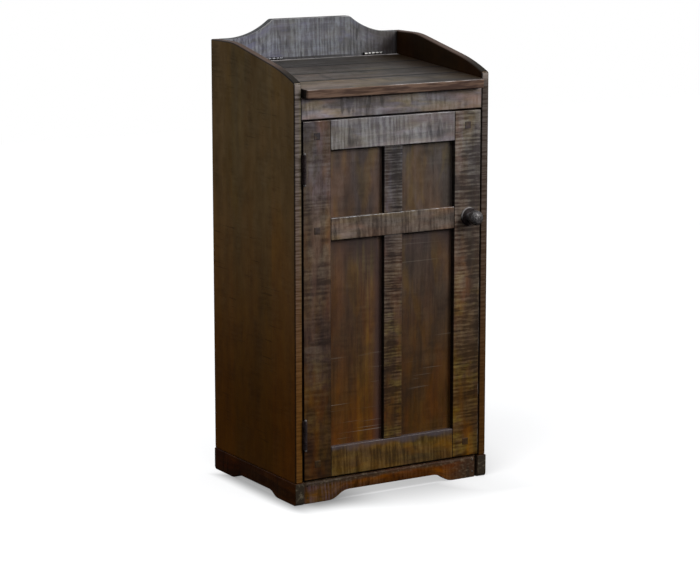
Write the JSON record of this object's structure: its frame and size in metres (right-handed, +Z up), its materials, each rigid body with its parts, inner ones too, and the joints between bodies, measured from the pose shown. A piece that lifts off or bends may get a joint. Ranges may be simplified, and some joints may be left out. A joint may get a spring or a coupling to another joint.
{
  "type": "trash can cabinet",
  "caption": "Tall narrow wooden cabinet on an arched plinth, with a frame-and-panel door and a knob, a sloping lift-up lid and a shaped crest board, made to hide a trash can.",
  "frame": {"origin": "on the ground, under the centre of the whole object's box", "axes": "+Z up, +Y to the back, +X to the right of someone facing the door"},
  "size_m": [0.511, 0.425, 1.051],
  "materials": {
    "case_wood": "dark stained, distressed, satin",
    "face_wood": "dark stained, rough sawn, satin",
    "panel_wood": "dark stained, smooth, satin",
    "black_steel": "black, satin",
    "bright_steel": "bright"
  },
  "bodies": {
    "cabinet": {"left_side_panel": "case_wood", "right_side_panel": "case_wood", "back_panel": "panel_wood", "floor_panel": "case_wood", "crest_board": "face_wood", "apron_rail": "face_wood", "left_lid_cleat": "case_wood", "right_lid_cleat": "case_wood", "left_plinth": "case_wood", "right_plinth": "case_wood", "front_plinth": "face_wood", "back_plinth": "case_wood", "front_left_block": "case_wood", "front_right_block": "case_wood", "back_left_block": "case_wood", "back_right_block": "case_wood", "catch_magnet": "black_steel", "upper_frame_leaf": "black_steel", "lower_frame_leaf": "black_steel", "upper_hinge_pin": "black_steel", "lower_hinge_pin": "black_steel", "left_crest_leaf": "bright_steel", "right_crest_leaf": "bright_steel", "left_lid_pin": "bright_steel", "right_lid_pin": "bright_steel"},
    "door": {"left_stile": "case_wood", "right_stile": "case_wood", "top_rail": "face_wood", "middle_rail": "face_wood", "bottom_rail": "face_wood", "upper_muntin": "face_wood", "lower_muntin": "face_wood", "upper_left_panel": "panel_wood", "upper_right_panel": "panel_wood", "lower_left_panel": "panel_wood", "lower_right_panel": "panel_wood", "top_left_peg": "panel_wood", "middle_left_peg": "panel_wood", "bottom_left_peg": "panel_wood", "top_right_peg": "panel_wood", "bottom_right_peg": "panel_wood", "knob_rose": "black_steel", "knob": "black_steel", "knob_bolt": "bright_steel", "catch_strike": "bright_steel", "upper_door_leaf": "black_steel", "lower_door_leaf": "black_steel"},
    "lid": {"back_lid_board": "face_wood", "second_lid_board": "face_wood", "third_lid_board": "face_wood", "front_lid_board": "face_wood", "left_lid_batten": "case_wood", "right_lid_batten": "case_wood", "left_lid_leaf": "bright_steel", "right_lid_leaf": "bright_steel"}
  },
  "joints": [
    {"name": "door_hinge", "type": "hinge", "parent": "cabinet", "child": "door", "pos_m": [-0.231, -0.1739, 0.457], "axis": [0, 0, -1], "range_deg": [0, 175]},
    {"name": "lid_hinge", "type": "hinge", "parent": "cabinet", "child": "lid", "pos_m": [0, 0.1875, 0.9609], "axis": [-1, 0, 0], "range_deg": [0, 98]}
  ]
}
